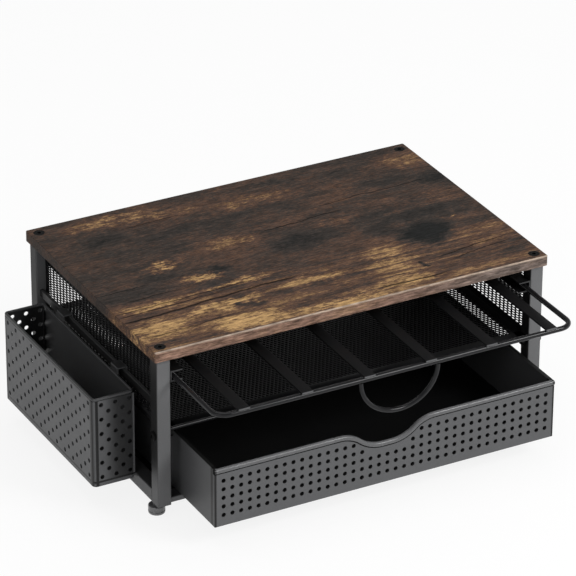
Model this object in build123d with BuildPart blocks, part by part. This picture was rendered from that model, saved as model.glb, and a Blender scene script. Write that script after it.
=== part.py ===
from build123d import *
import math
import os

os.makedirs("parts", exist_ok=True)

# A free-standing pod drawer, in millimetres. X runs left to right, Y front to back, Z up.
# It is modelled as photographed: the tray and the drawer are pulled out to the front.
# The origin is at the middle of the whole object, on the surface it stands on.

# Driving dimensions: stand
frame_w = 355.0        # outer width of the four legs
frame_d = 235.0        # outer depth of the four legs
leg_h = 133.5          # leg bottom to board underside
tube = 12.0            # square tube of legs and side rails
tube_wall = 1.2
tube_corner = 1.0
board_t = 9.0
board_lip = 2.5        # board past the legs on every side
board_edge = 0.8
foot_h = 13.0          # surface to leg bottom
foot_r = 7.0
foot_pad = 7.5
foot_inset = 15.0      # leg front face to foot axis
stem_r = 2.5
screw_r = 2.5
screw_head_r = 4.8
screw_l = 26.0
button_r = 4.0
button_t = 2.2
bolt_r = 1.9
insert_l = 18.0
nut_t = 3.0
nut_r = 3.6

# Cross bars, side bars, mesh
cross_d = 12.0
cross_h = 5.0
cross_setback = 1.5
side_bar_t = 3.0
side_bar_h = 7.0
side_bar_z = 86.0      # leg bottom to bar underside
side_bar_in = 3.0      # leg outer face to bar
mesh_t = 0.8
mesh_in = 8.2          # leg outer face to side mesh
mesh_top_gap = 2.0
mesh_border = 5.0
side_cell_w = 7.2
side_cell_h = 4.6
side_pitch_y = 10.0
side_pitch_z = 5.6
shelf_z = 67.5         # leg bottom to shelf underside
shelf_t = 1.0
shelf_flange = 10.0
shelf_border = 8.0
shelf_cell_w = 8.6
shelf_cell_d = 14.0
shelf_pitch_x = 13.0
shelf_pitch_y = 18.5
rod_r = 1.6

# Upper tray
channel_z = 112.0      # leg bottom to channel underside
channel_h = 9.6
channel_w = 10.6
channel_t = 1.2
wire_r = 2.2
tray_reach = 73.5      # leg front face to front wire axis
tray_d = 225.0         # front wire axis to rear wire axis
tray_corner = 12.0
bar_n = 6
bar_w = 10.0
bar_t = 1.6
bar_pitch = 55.8
loop_w = 74.0
loop_drop = 36.5       # front wire axis to the loop's lowest point
loop_r = 2.0

# Lower drawer
drawer_w = 312.0
drawer_h = 52.0
drawer_d = 218.0
drawer_reach = 57.0    # leg front face to drawer front face
drawer_z = 6.1         # leg bottom to drawer underside
sheet = 1.0
fold = 3.0             # front panel's folded edge
rim_h = 4.5
rim_out = 1.0
wave_w = 87.0
wave_drop = 14.5
wave_flat = 8.0
hole_r = 1.9
hole_pitch = 7.8
hole_cols = 39
hole_rows = 5
hole_base = 9.7        # drawer underside to the lowest row
hole_keep = 8.0        # least height of edge over a hole's centre
runner_t = 1.1
runner_w = 13.0
runner_web = 5.0
stop_h = 6.0
stop_t = 3.2

# Side basket
basket_out = 36.8      # basket depth, away from the stand
basket_gap = 0.5
basket_l = 168.8
basket_y = 40.2        # leg front face to basket front wall
basket_h = 80.5
basket_z = 8.0         # leg bottom to basket underside
basket_corner = 3.5
basket_rim_h = 2.4
basket_rim_t = 2.2
band_h = 4.0           # upturned edge of the basket's floor pan
pore_r = 1.9
pore_step_long = 7.6   # half the spacing of a row of pores, on the long wall
pore_step_end = 6.25   # the same on the end walls
pore_rise = 6.6        # half the spacing of a column of pores
pore_edge = 3.5
hook_w = 12.0
hook_t = 1.2
hook_lip = 6.0
hook_side = 34.0       # basket end to hook's middle

# Clearances
slide_gap = 0.3        # between a moving piece and what carries it
hook_gap = 0.4
fit_gap = 0.1          # round a screw

# Places worked out from the sizes
basket_reach = basket_out + basket_gap
front_reach = tray_reach + wire_r
x_left = basket_reach - (basket_reach + frame_w + board_lip) / 2
x_right = x_left + frame_w
x_mid = x_left + frame_w / 2
y_front = front_reach - (front_reach + frame_d + board_lip) / 2
y_rear = y_front + frame_d
y_mid = y_front + frame_d / 2
z_leg = foot_h
z_board = z_leg + leg_h
sides = {"left": -1, "right": 1}
ends = {"front": -1, "rear": 1}


def leg_axis(side, end):
    """Plan position of the middle of a leg."""
    return (x_mid + side * (frame_w - tube) / 2, y_mid + end * (frame_d - tube) / 2)


def foot_axis(side, end):
    """Plan position of a foot: under the side rail, just inside the leg."""
    return (x_mid + side * (frame_w - tube) / 2, y_mid + end * (frame_d / 2 - foot_inset))


def slab(x0, x1, y0, y1, z0, z1, mode=Mode.ADD):
    """A rectangular block between its six faces."""
    with Locations(((x0 + x1) / 2, (y0 + y1) / 2, (z0 + z1) / 2)):
        Box(abs(x1 - x0), abs(y1 - y0), abs(z1 - z0), mode=mode)


def save(builder, name):
    """Label a finished piece and write it."""
    builder.part.label = name
    export_step(builder.part, f"parts/{name}.step")


def at_corners(place):
    """The four positions that place() gives, one for each leg."""
    return [place(side, end) for side in sides.values() for end in ends.values()]


# Top board, with countersunk holes over the legs
with BuildPart() as top_board:
    with BuildSketch(Plane.XY.offset(z_board)):
        with Locations((x_mid, y_mid)):
            RectangleRounded(frame_w + 2 * board_lip, frame_d + 2 * board_lip, board_edge * 2)
    extrude(amount=board_t)
    chamfer(top_board.faces().sort_by(Axis.Z)[-1].edges(), board_edge / 2)
    with Locations([(x, y, z_board + board_t) for x, y in at_corners(leg_axis)]):
        CounterSinkHole(screw_r + fit_gap, screw_head_r + 2 * fit_gap, counter_sink_angle=90)
save(top_board, "top_board")

# Board screws: countersunk head with a hexagon socket
for end_name, end in ends.items():
    for side_name, side in sides.items():
        head_z = z_board + board_t - fit_gap
        cone = screw_head_r - screw_r
        with BuildPart() as board_screw:
            with Locations((*leg_axis(side, end), head_z - screw_l)):
                Cylinder(screw_r, screw_l - cone, align=(Align.CENTER, Align.CENTER, Align.MIN))
            with Locations((*leg_axis(side, end), head_z - cone)):
                Cone(screw_r, screw_head_r, cone, align=(Align.CENTER, Align.CENTER, Align.MIN))
            with BuildSketch(Plane.XY.offset(head_z)):
                with Locations(leg_axis(side, end)):
                    RegularPolygon(screw_r * 0.7, 6)
            extrude(amount=-cone, mode=Mode.SUBTRACT)
        save(board_screw, f"board_screw_{end_name}_{side_name}")

# Legs: square tube, closed at the bottom, drilled for the shelf screws
bolt_z = z_leg + shelf_z + shelf_t - shelf_flange / 2
for end_name, end in ends.items():
    for side_name, side in sides.items():
        with BuildPart() as leg:
            with BuildSketch(Plane.XY.offset(z_leg)):
                with Locations(leg_axis(side, end)):
                    RectangleRounded(tube, tube, tube_corner)
            extrude(amount=leg_h)
            with BuildSketch(Plane.XY.offset(z_leg + tube_wall)):
                with Locations(leg_axis(side, end)):
                    Rectangle(tube - 2 * tube_wall, tube - 2 * tube_wall)
            extrude(amount=leg_h, mode=Mode.SUBTRACT)
            with Locations(Location((*leg_axis(side, end), bolt_z), (0, 90, 0))):
                Cylinder(bolt_r + fit_gap, 2 * tube, mode=Mode.SUBTRACT)
        save(leg, f"leg_{end_name}_{side_name}")

# Threaded inserts in the tops of the legs
with BuildPart() as leg_top_inserts:
    with BuildSketch(Plane.XY.offset(z_board)):
        with Locations(at_corners(leg_axis)):
            Rectangle(tube - 2 * tube_wall, tube - 2 * tube_wall)
            Circle(screw_r + fit_gap, mode=Mode.SUBTRACT)
    extrude(amount=-insert_l)
save(leg_top_inserts, "leg_top_inserts")

# Side rails at the bottom: square tube with a hole for each foot
for side_name, side in sides.items():
    rail_plane = Plane.XZ.offset(tube - y_rear)
    with BuildPart() as bottom_rail:
        with BuildSketch(rail_plane):
            with Locations((leg_axis(side, 1)[0], z_leg + tube / 2)):
                RectangleRounded(tube, tube, tube_corner)
                Rectangle(tube - 2 * tube_wall, tube - 2 * tube_wall, mode=Mode.SUBTRACT)
        extrude(amount=frame_d - 2 * tube)
        with Locations([(*foot_axis(side, end), z_leg) for end in ends.values()]):
            Cylinder(stem_r + fit_gap, tube, mode=Mode.SUBTRACT)
    save(bottom_rail, f"bottom_rail_{side_name}")

# Low cross bars at the front and the rear, between the legs
cross_z = z_leg + drawer_z - slide_gap - cross_h
for end_name, end in ends.items():
    y_outer = y_mid + end * (frame_d / 2 - cross_setback)
    with BuildPart() as cross_bar:
        slab(x_left + tube, x_right - tube, y_outer, y_outer - end * cross_d, cross_z, cross_z + cross_h)
        fillet(cross_bar.edges().filter_by(Axis.X), tube_corner)
    save(cross_bar, f"bottom_rail_{end_name}")

# Flat side bars that the basket's hooks go over
for side_name, side in sides.items():
    x_outer = x_mid + side * (frame_w / 2 - side_bar_in)
    bar_top = z_leg + side_bar_z + side_bar_h
    with BuildPart() as side_bar:
        slab(x_outer, x_outer - side * side_bar_t, y_front + tube, y_rear - tube, bar_top - side_bar_h, bar_top)
        fillet(side_bar.edges().filter_by(Axis.Y), side_bar_t / 4)
    save(side_bar, f"side_bar_{side_name}")

# Side mesh: a thin panel between the legs, pierced with lozenges
mesh_z0 = z_leg + shelf_z
mesh_z1 = z_board - mesh_top_gap
mesh_l = frame_d - 2 * tube
side_n_y = int((mesh_l - 2 * mesh_border) // side_pitch_y)
side_n_z = int((mesh_z1 - mesh_z0 - 2 * mesh_border) // side_pitch_z)
for side_name, side in sides.items():
    mesh_plane = Plane.YZ.offset(x_mid + side * (frame_w / 2 - mesh_in))
    with BuildPart() as side_mesh:
        with BuildSketch(mesh_plane):
            with Locations((y_mid, (mesh_z0 + mesh_z1) / 2)):
                Rectangle(mesh_l, mesh_z1 - mesh_z0)
                with GridLocations(side_pitch_y, side_pitch_z, side_n_y, side_n_z):
                    Rectangle(side_cell_w, side_cell_h, mode=Mode.SUBTRACT)
        extrude(amount=-side * mesh_t)
    save(side_mesh, f"side_mesh_{side_name}")

# Mesh shelf: a panel with a flange down each side, drilled for its screws
shelf_x0 = x_left + tube
shelf_x1 = x_right - tube
shelf_y0 = y_front + cross_setback + 2 * rod_r
shelf_y1 = y_rear - cross_setback
shelf_n_x = int((frame_w - 2 * tube - 2 * shelf_border) // shelf_pitch_x)
shelf_n_y = int((shelf_y1 - shelf_y0 - 2 * shelf_border) // shelf_pitch_y)
shelf_under = z_leg + shelf_z
with BuildPart() as shelf_mesh:
    with BuildSketch(Plane.XZ.offset(-shelf_y0)):
        with Locations((x_mid, shelf_under + shelf_t - shelf_flange / 2)):
            Rectangle(shelf_x1 - shelf_x0, shelf_flange)
        with Locations((x_mid, shelf_under - shelf_flange / 2)):
            Rectangle(shelf_x1 - shelf_x0 - 2 * shelf_t, shelf_flange, mode=Mode.SUBTRACT)
    extrude(amount=shelf_y0 - shelf_y1)
    with Locations([Location((x, y, bolt_z), (0, 90, 0)) for x, y in at_corners(leg_axis)]):
        Cylinder(bolt_r + fit_gap, 2 * tube, mode=Mode.SUBTRACT)
    with BuildSketch(Plane.XY.offset(shelf_under)):
        with Locations((x_mid, (shelf_y0 + shelf_y1) / 2)):
            with GridLocations(shelf_pitch_x, shelf_pitch_y, shelf_n_x, shelf_n_y):
                Rectangle(shelf_cell_w, shelf_cell_d)
    extrude(amount=shelf_t, mode=Mode.SUBTRACT)
save(shelf_mesh, "shelf_mesh")

# Round rod along the shelf's front edge, welded between the legs
with BuildPart() as shelf_front_rod:
    with BuildSketch(Plane.YZ.offset(shelf_x0)):
        with Locations((shelf_y0 - rod_r, shelf_under + shelf_t / 2)):
            Circle(rod_r)
    extrude(amount=frame_w - 2 * tube)
save(shelf_front_rod, "shelf_front_rod")

# Shelf screws: a domed head on the leg's outer face, and a nut behind the flange
with BuildPart() as shelf_screws:
    for side in sides.values():
        x_face = x_mid + side * frame_w / 2
        x_flange = x_face - side * (tube + shelf_t)
        for end in ends.values():
            y = leg_axis(side, end)[1]
            with BuildSketch(Plane.YZ.offset(x_face)):
                with Locations((y, bolt_z)):
                    Circle(button_r)
            head = extrude(amount=side * button_t)
            with BuildSketch(Plane.YZ.offset(x_face)):
                with Locations((y, bolt_z)):
                    Circle(bolt_r)
            extrude(amount=-side * (tube + shelf_t + nut_t))
            with BuildSketch(Plane.YZ.offset(x_flange)):
                with Locations((y, bolt_z)):
                    RegularPolygon(nut_r, 6)
            extrude(amount=-side * nut_t)
            outer_face = head.faces().sort_by(Axis.X)[-1 if side > 0 else 0]
            fillet(outer_face.edges(), button_t * 0.6)
            with BuildSketch(Plane.YZ.offset(x_face + side * button_t)):
                with Locations((y, bolt_z)):
                    RegularPolygon(bolt_r * 0.8, 6)
            extrude(amount=-side * button_t * 0.6, mode=Mode.SUBTRACT)
save(shelf_screws, "shelf_screws")

# Threaded plugs in the side rails, and the feet that screw into them
plug = tube - 2 * tube_wall
with BuildPart() as foot_inserts:
    for side in sides.values():
        for end in ends.values():
            x, y = foot_axis(side, end)
            y_leg = y_mid + end * (frame_d / 2 - tube)
            z_plug = z_leg + tube_wall
            slab(x - plug / 2, x + plug / 2, y_leg, y - end * plug / 2, z_plug, z_plug + plug)
    with Locations([(*spot, z_leg + tube / 2) for spot in at_corners(foot_axis)]):
        Cylinder(stem_r + fit_gap, tube, mode=Mode.SUBTRACT)
save(foot_inserts, "foot_inserts")

for end_name, end in ends.items():
    for side_name, side in sides.items():
        with BuildPart() as foot:
            with BuildSketch():
                with Locations(foot_axis(side, end)):
                    Circle(foot_r)
            extrude(amount=foot_pad)
            chamfer(foot.edges().filter_by(GeomType.CIRCLE), board_edge)
            with BuildSketch(Plane.XY.offset(foot_pad)):
                with Locations(foot_axis(side, end)):
                    Circle(stem_r)
            extrude(amount=foot_h - foot_pad + tube_wall + plug)
        save(foot, f"foot_{end_name}_{side_name}")

# Tray channels: C sections on the legs' inner faces, open towards the tray
channel_under = z_leg + channel_z
for side_name, side in sides.items():
    x_web = x_mid + side * (frame_w / 2 - tube)
    with BuildPart() as tray_channel:
        slab(x_web, x_web - side * channel_w, y_front, y_rear, channel_under, channel_under + channel_h)
        x_cut = x_web - side * channel_t
        z_cut = channel_under + channel_t
        lips = channel_under + channel_h - channel_t
        slab(x_cut, x_cut - side * channel_w, y_front, y_rear, z_cut, lips, mode=Mode.SUBTRACT)
    save(tray_channel, f"tray_channel_{side_name}")

# Tray: a closed rectangle of round wire that runs in the channels
wire_z = channel_under + channel_t + slide_gap + wire_r
wire_y = y_front - tray_reach
wire_w = frame_w - 2 * (tube + channel_t + slide_gap + wire_r)
with BuildPart() as tray_wire_frame:
    with BuildSketch(Plane.YZ.offset(x_mid)):
        with Locations((wire_y, wire_z)):
            Circle(wire_r)
    with BuildLine(Plane.XY.offset(wire_z)):
        x_side = x_mid + wire_w / 2
        y_back = wire_y + tray_d
        FilletPolyline((x_mid, wire_y), (x_side, wire_y), (x_side, y_back), (x_mid, y_back), radius=tray_corner)
    sweep()
    mirror(about=Plane.YZ.offset(x_mid))
save(tray_wire_frame, "tray_wire_frame")

# Flat bars across the tray, welded on the front and rear wires
for index in range(bar_n):
    x = x_mid + (index - (bar_n - 1) / 2) * bar_pitch
    with BuildPart() as tray_bar:
        y0 = wire_y - wire_r
        y1 = wire_y + tray_d + wire_r
        slab(x - bar_w / 2, x + bar_w / 2, y0, y1, wire_z + wire_r, wire_z + wire_r + bar_t)
        fillet(tray_bar.edges().filter_by(Axis.Z), board_edge)
    save(tray_bar, f"tray_bar_{index + 1}")

# Half-round pull under the front wire
loop_arc = loop_w / 2 - loop_r
loop_top = wire_z - wire_r
loop_bottom = wire_z - loop_drop + loop_r
with BuildPart() as tray_pull_loop:
    with BuildLine(Plane.XZ.offset(-wire_y)):
        EllipticalCenterArc((x_mid, loop_top), loop_arc, loop_top - loop_bottom, start_angle=180, arc_size=180)
    with BuildSketch(Plane.XY.offset(loop_top)):
        with Locations((x_mid - loop_arc, wire_y)):
            Circle(loop_r)
    sweep()
save(tray_pull_loop, "tray_pull_loop")

# Drawer places
x_drawer0 = x_mid - drawer_w / 2
x_drawer1 = x_mid + drawer_w / 2
y_drawer0 = y_front - drawer_reach
y_drawer1 = y_drawer0 + drawer_d
z_drawer0 = z_leg + drawer_z
z_drawer1 = z_drawer0 + drawer_h
y_walls = y_drawer0 + fold

# The wave's side is two equal arcs, one crest and one trough
wave_run = (wave_w - wave_flat) / 2
wave_turn = math.degrees(2 * math.atan2(wave_drop, wave_run))
wave_r = wave_run / (2 * math.sin(math.radians(wave_turn)))
front_plane = Plane.XZ.offset(-y_drawer0)


def edge_height(x):
    """Height of the front's wavy top edge at a distance x from the middle."""
    crest_run = wave_r * math.sin(math.radians(wave_turn))
    x = abs(x)
    if x >= wave_w / 2:
        return z_drawer1
    if x >= wave_w / 2 - crest_run:
        return z_drawer1 - wave_r + math.sqrt(wave_r**2 - (wave_w / 2 - x) ** 2)
    inner = max(0, x - wave_flat / 2)
    return z_drawer1 - wave_drop + wave_r - math.sqrt(wave_r**2 - inner**2)


def wave_edge(inset):
    """The front's top edge from end to end, inset below the outline by its full width."""
    top = z_drawer1 - inset
    crest = wave_r - inset
    trough = wave_r + inset
    crest_z = z_drawer1 - wave_r
    trough_z = z_drawer1 - wave_drop + wave_r
    low = z_drawer1 - wave_drop - inset
    Line((x_drawer0, top), (x_mid - wave_w / 2, top))
    CenterArc((x_mid - wave_w / 2, crest_z), crest, 90, -wave_turn)
    CenterArc((x_mid - wave_flat / 2, trough_z), trough, 270 - wave_turn, wave_turn)
    Line((x_mid - wave_flat / 2, low), (x_mid + wave_flat / 2, low))
    CenterArc((x_mid + wave_flat / 2, trough_z), trough, 270, wave_turn)
    CenterArc((x_mid + wave_w / 2, crest_z), crest, 90 + wave_turn, -wave_turn)
    Line((x_mid + wave_w / 2, top), (x_drawer1, top))


# Drawer front: perforated sheet with folded ends and bottom
holes = []
for row in range(hole_rows):
    for column in range(hole_cols):
        x = (column - (hole_cols - 1) / 2) * hole_pitch
        z = z_drawer0 + hole_base + row * hole_pitch
        if edge_height(x) - z >= hole_keep:
            holes.append((x_mid + x, z))
with BuildPart() as drawer_front:
    with BuildSketch(front_plane):
        with BuildLine():
            wave_edge(rim_h)
            Polyline(
                (x_drawer1, z_drawer1 - rim_h),
                (x_drawer1, z_drawer0),
                (x_drawer0, z_drawer0),
                (x_drawer0, z_drawer1 - rim_h),
            )
        make_face()
        with Locations(holes):
            Circle(hole_r, mode=Mode.SUBTRACT)
    extrude(amount=-sheet)
    fold_top = z_drawer1 - rim_h
    y_back = y_drawer0 + sheet
    slab(x_drawer0, x_drawer0 + sheet, y_back, y_walls, z_drawer0, fold_top)
    slab(x_drawer1 - sheet, x_drawer1, y_back, y_walls, z_drawer0, fold_top)
    slab(x_drawer0, x_drawer1, y_back, y_walls, z_drawer0, z_drawer0 + sheet)
save(drawer_front, "drawer_front")

# Rolled rim along the wavy top edge
with BuildPart() as drawer_front_rim:
    with BuildSketch(front_plane.offset(rim_out)):
        with BuildLine():
            wave_edge(0)
            Line((x_drawer1, z_drawer1), (x_drawer1, z_drawer1 - rim_h))
            wave_edge(rim_h)
            Line((x_drawer0, z_drawer1 - rim_h), (x_drawer0, z_drawer1))
        make_face()
    extrude(amount=-(rim_out + fold))
save(drawer_front_rim, "drawer_front_rim")

# Drawer tub: floor, sides and back
with BuildPart() as drawer_floor:
    slab(x_drawer0, x_drawer1, y_walls, y_drawer1, z_drawer0, z_drawer0 + sheet)
save(drawer_floor, "drawer_floor")

for side_name, side in sides.items():
    x_outer = x_mid + side * drawer_w / 2
    with BuildPart() as drawer_side:
        slab(x_outer, x_outer - side * sheet, y_walls, y_drawer1, z_drawer0 + sheet, z_drawer1)
        slab(x_outer, x_outer - side * fold, y_walls, y_drawer1, z_drawer1 - sheet, z_drawer1)
    save(drawer_side, f"drawer_side_{side_name}")

with BuildPart() as drawer_back:
    x0 = x_drawer0 + sheet
    x1 = x_drawer1 - sheet
    slab(x0, x1, y_drawer1 - sheet, y_drawer1, z_drawer0 + sheet, z_drawer1 - sheet)
save(drawer_back, "drawer_back")

# Runners: angles on the side rails that the drawer's floor slides on, with a stop at the rear
runner_top = z_drawer0 - slide_gap
for side_name, side in sides.items():
    x_rail = x_mid + side * (frame_w / 2 - tube)
    y0 = y_front + cross_setback + cross_d
    y1 = y_rear - cross_setback - cross_d
    x_lip = x_rail - side * runner_w
    with BuildPart() as drawer_runner:
        slab(x_rail, x_lip, y0, y1, runner_top - runner_t, runner_top)
        slab(x_rail, x_rail - side * runner_t, y0, y1, runner_top - runner_t, runner_top + runner_web)
        slab(x_rail, x_lip, y1 - stop_t, y1, runner_top - runner_t, runner_top + stop_h)
    save(drawer_runner, f"drawer_runner_{side_name}")

# Basket places
x_basket0 = x_left - basket_reach
x_basket1 = x_left - basket_gap
y_basket0 = y_front + basket_y
y_basket1 = y_basket0 + basket_l
z_basket0 = z_leg + basket_z
z_basket1 = z_basket0 + basket_h
wall_base = z_basket0 + band_h
wall_top = z_basket1 - basket_rim_h
wall_h = wall_top - wall_base
wall_mid_z = (wall_base + wall_top) / 2


def staggered(length, height, step):
    """Positions of a staggered field of pores, measured from its middle."""
    half_x = int((length / 2 - pore_edge) // step)
    half_z = int((height / 2 - pore_edge) // pore_rise)
    spots = []
    for i in range(-half_x, half_x + 1):
        for k in range(-half_z, half_z + 1):
            if (i + k) % 2 == 1:
                spots.append((i * step, k * pore_rise))
    return spots


# Basket's long walls: outer with rounded corners beside it, inner against the stand
with BuildPart() as basket_outer_wall:
    outer_l = basket_l - 2 * basket_corner
    with BuildSketch(Plane.YZ.offset(x_basket0)):
        with Locations(((y_basket0 + y_basket1) / 2, wall_mid_z)):
            Rectangle(outer_l, wall_h)
            with Locations(staggered(outer_l, wall_h, pore_step_long)):
                Circle(pore_r, mode=Mode.SUBTRACT)
    extrude(amount=sheet)
save(basket_outer_wall, "basket_outer_wall")

with BuildPart() as basket_inner_wall:
    slab(x_basket1 - sheet, x_basket1, y_basket0 + sheet, y_basket1 - sheet, wall_base, wall_top)
save(basket_inner_wall, "basket_inner_wall")

# Basket's end walls
for end_name, end in ends.items():
    y_outer = (y_basket0 + y_basket1) / 2 + end * basket_l / 2
    end_l = basket_out - basket_corner
    with BuildPart() as end_wall:
        with BuildSketch(Plane.XZ.offset(-y_outer)):
            with Locations((x_basket1 - end_l / 2, wall_mid_z)):
                Rectangle(end_l, wall_h)
                with Locations(staggered(end_l, wall_h, pore_step_end)):
                    Circle(pore_r, mode=Mode.SUBTRACT)
        extrude(amount=end * sheet)
    save(end_wall, f"basket_{end_name}_wall")

# Basket's rounded outer corners
for end_name, end in ends.items():
    y_centre = (y_basket0 + y_basket1) / 2 + end * (basket_l / 2 - basket_corner)
    x_centre = x_basket0 + basket_corner
    start = 90 if end > 0 else 180
    with BuildPart() as basket_bend:
        with BuildSketch(Plane.XY.offset(wall_base)):
            with BuildLine():
                CenterArc((x_centre, y_centre), basket_corner, start, 90)
                CenterArc((x_centre, y_centre), basket_corner - sheet, start, 90)
                Line((x_basket0, y_centre), (x_basket0 + sheet, y_centre))
                y_arc = y_centre + end * basket_corner
                Line((x_centre, y_arc), (x_centre, y_arc - end * sheet))
            make_face()
        extrude(amount=wall_h)
    save(basket_bend, f"basket_corner_{end_name}")

# Basket floor: a shallow pan whose upturned edge carries the walls
with BuildPart() as basket_floor:
    pan_middle = ((x_basket0 + x_basket1) / 2, (y_basket0 + y_basket1) / 2)
    with BuildSketch(Plane.XY.offset(z_basket0)):
        with Locations(pan_middle):
            RectangleRounded(basket_out, basket_l, basket_corner)
    extrude(amount=band_h)
    with BuildSketch(Plane.XY.offset(z_basket0 + sheet)):
        with Locations(pan_middle):
            RectangleRounded(basket_out - 2 * sheet, basket_l - 2 * sheet, basket_corner - sheet)
    extrude(amount=band_h, mode=Mode.SUBTRACT)
save(basket_floor, "basket_floor")

# Rolled rim round the basket's mouth, on top of the walls
with BuildPart() as basket_rim:
    with BuildSketch(Plane.XY.offset(wall_top)):
        with Locations(((x_basket0 + x_basket1) / 2, (y_basket0 + y_basket1) / 2)):
            RectangleRounded(basket_out, basket_l, basket_corner)
            inner_r = basket_corner - basket_rim_t
            RectangleRounded(
                basket_out - 2 * basket_rim_t, basket_l - 2 * basket_rim_t, inner_r, mode=Mode.SUBTRACT
            )
    extrude(amount=basket_rim_h)
save(basket_rim, "basket_rim")

# Two strap hooks that go up from the rim, over the side bar and down behind it
hook_z0 = z_basket1
hook_z1 = z_leg + side_bar_z + side_bar_h + slide_gap
hook_x0 = x_basket1 - hook_t
hook_x1 = x_left + side_bar_in + side_bar_t + hook_gap
with BuildPart() as basket_hooks:
    for y_hook in (y_basket0 + hook_side, y_basket1 - hook_side):
        with BuildSketch(Plane.XZ.offset(-(y_hook + hook_w / 2))):
            with BuildLine():
                Polyline(
                    (hook_x0, hook_z0),
                    (hook_x0, hook_z1 + hook_t),
                    (hook_x1 + hook_t, hook_z1 + hook_t),
                    (hook_x1 + hook_t, hook_z1 - hook_lip),
                    (hook_x1, hook_z1 - hook_lip),
                    (hook_x1, hook_z1),
                    (x_basket1, hook_z1),
                    (x_basket1, hook_z0),
                    close=True,
                )
            make_face()
        extrude(amount=hook_w)
    tops = basket_hooks.edges().filter_by(Axis.Y).group_by(Axis.Z)[-1]
    fillet(tops, hook_t * 0.8)
save(basket_hooks, "basket_hooks")
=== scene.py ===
"""Coffee pod drawer: looks for a wood-topped metal stand with a sliding tray, a drawer and a side basket."""

import math
from functools import reduce

import bpy
import numpy as np
from mathutils import Matrix, Vector


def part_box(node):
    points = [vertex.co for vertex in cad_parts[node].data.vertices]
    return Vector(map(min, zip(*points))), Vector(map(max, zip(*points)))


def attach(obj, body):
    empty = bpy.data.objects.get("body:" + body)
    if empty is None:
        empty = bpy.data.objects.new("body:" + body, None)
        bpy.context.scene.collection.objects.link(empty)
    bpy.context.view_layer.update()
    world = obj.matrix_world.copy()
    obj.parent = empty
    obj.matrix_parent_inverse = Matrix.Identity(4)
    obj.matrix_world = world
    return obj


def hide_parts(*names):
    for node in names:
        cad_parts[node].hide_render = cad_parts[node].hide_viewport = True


bl_info = {
    "name": "Coffee Pod Drawer",
    "version": (1, 0),
    "blender": (4, 5, 0),
    "location": "View3D > Sidebar > Pod Drawer",
    "description": "Dresses the pod drawer's frame: timber top, coated steel, mesh, wire and feet",
    "category": "Object",
}

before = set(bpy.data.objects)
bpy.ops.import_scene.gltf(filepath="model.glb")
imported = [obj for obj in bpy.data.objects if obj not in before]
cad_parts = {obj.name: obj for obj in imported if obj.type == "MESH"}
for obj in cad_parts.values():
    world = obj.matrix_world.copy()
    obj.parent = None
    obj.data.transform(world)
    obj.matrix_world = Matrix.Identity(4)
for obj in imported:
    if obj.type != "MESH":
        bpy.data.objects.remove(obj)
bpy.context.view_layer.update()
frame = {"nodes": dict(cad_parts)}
NODES = frame["nodes"]
MM = 0.001
X_AXIS, Y_AXIS, UP = (1, 0, 0), (0, 1, 0), (0, 0, 1)


# ---------------------------------------------------------------- sizes and colours


def colour_setting(name, description, default):
    """A colour that the panel shows."""
    return bpy.props.FloatVectorProperty(name=name, description=description, subtype="COLOR", size=3, default=default)


def length_setting(name, description, default):
    """A length that the panel shows."""
    return bpy.props.FloatProperty(name=name, description=description, unit="LENGTH", default=default)


def angle_setting(name, description, degrees):
    """An angle that the panel shows."""
    return bpy.props.FloatProperty(name=name, description=description, subtype="ANGLE", default=math.radians(degrees))


class BoardLook(bpy.types.PropertyGroup):
    """Colours of the printed timber top."""

    char: colour_setting("Char", "Darkest patches", (0.014, 0.0145, 0.014))
    dark: colour_setting("Dark", "Charred brown-grey", (0.042, 0.034, 0.0295))
    mid: colour_setting("Body brown", "Main brown of the print", (0.105, 0.057, 0.038))
    gold: colour_setting("Gold", "Golden blotches", (0.435, 0.27, 0.118))
    edge: colour_setting("Edge", "Edge band of the board", (0.235, 0.145, 0.108))
    aged: colour_setting("Aged edge", "Edge band towards the right", (0.17, 0.135, 0.118))
    # The arris colour below is a painted highlight along the board's front top edge.
    arris_highlight: colour_setting("Worn", "Worn arris", (0.42, 0.33, 0.26))


class SteelLook(bpy.types.PropertyGroup):
    """Colours of the coated steel, the wires and the feet."""

    sheet: colour_setting("Sheet", "Drawer and basket coat", (0.085, 0.086, 0.089))
    frame: colour_setting("Frame", "Legs and rails", (0.13, 0.131, 0.134))
    dark: colour_setting("Dark parts", "Mesh and bars", (0.0065, 0.0065, 0.007))
    wire: colour_setting("Wire", "Glossy wires", (0.012, 0.012, 0.013))
    foot: colour_setting("Feet", "Glossy feet", (0.12, 0.121, 0.125))
    screw: colour_setting("Screws", "Screws and inserts", (0.006, 0.006, 0.006))
    gap: colour_setting("Gaps", "Shade under a rolled edge", (0.004, 0.004, 0.004))


class MeshSizes(bpy.types.PropertyGroup):
    """Cells of the expanded metal."""

    side_pitch: length_setting("Side pitch", "Along a row of openings", 6.23 * MM)
    side_rise: length_setting("Side rise", "From row to row", 2.225 * MM)
    side_tilt: angle_setting("Opening tilt", "Up towards the front", 19)
    shelf_long: length_setting("Shelf lozenge length", "Front to back", 6.2 * MM)
    shelf_wide: length_setting("Shelf lozenge width", "Side to side", 3.6 * MM)
    open_share: bpy.props.FloatProperty(
        name="Shelf opening share", description="Opening over lozenge", default=0.62, min=0.2, max=0.9
    )


class CameraSizes(bpy.types.PropertyGroup):
    """Where the camera stands."""

    azimuth: angle_setting("Azimuth", "Round the object", -28.401)
    elevation: angle_setting("Elevation", "Above the horizon", 27.725)
    roll: angle_setting("Roll", "Tilt of the picture", 0.304)
    distance: length_setting("Distance", "To the aim", 3.2987)
    aside: length_setting("Aside", "To the right", -0.0025)
    above: length_setting("Above", "Upwards", 0.0236)
    lens: bpy.props.FloatProperty(name="Lens", description="In mm", default=248.2)


SETTINGS = (("pod_board", BoardLook), ("pod_steel", SteelLook), ("pod_mesh", MeshSizes), ("pod_camera", CameraSizes))


# ---------------------------------------------------------------- mesh helpers


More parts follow.
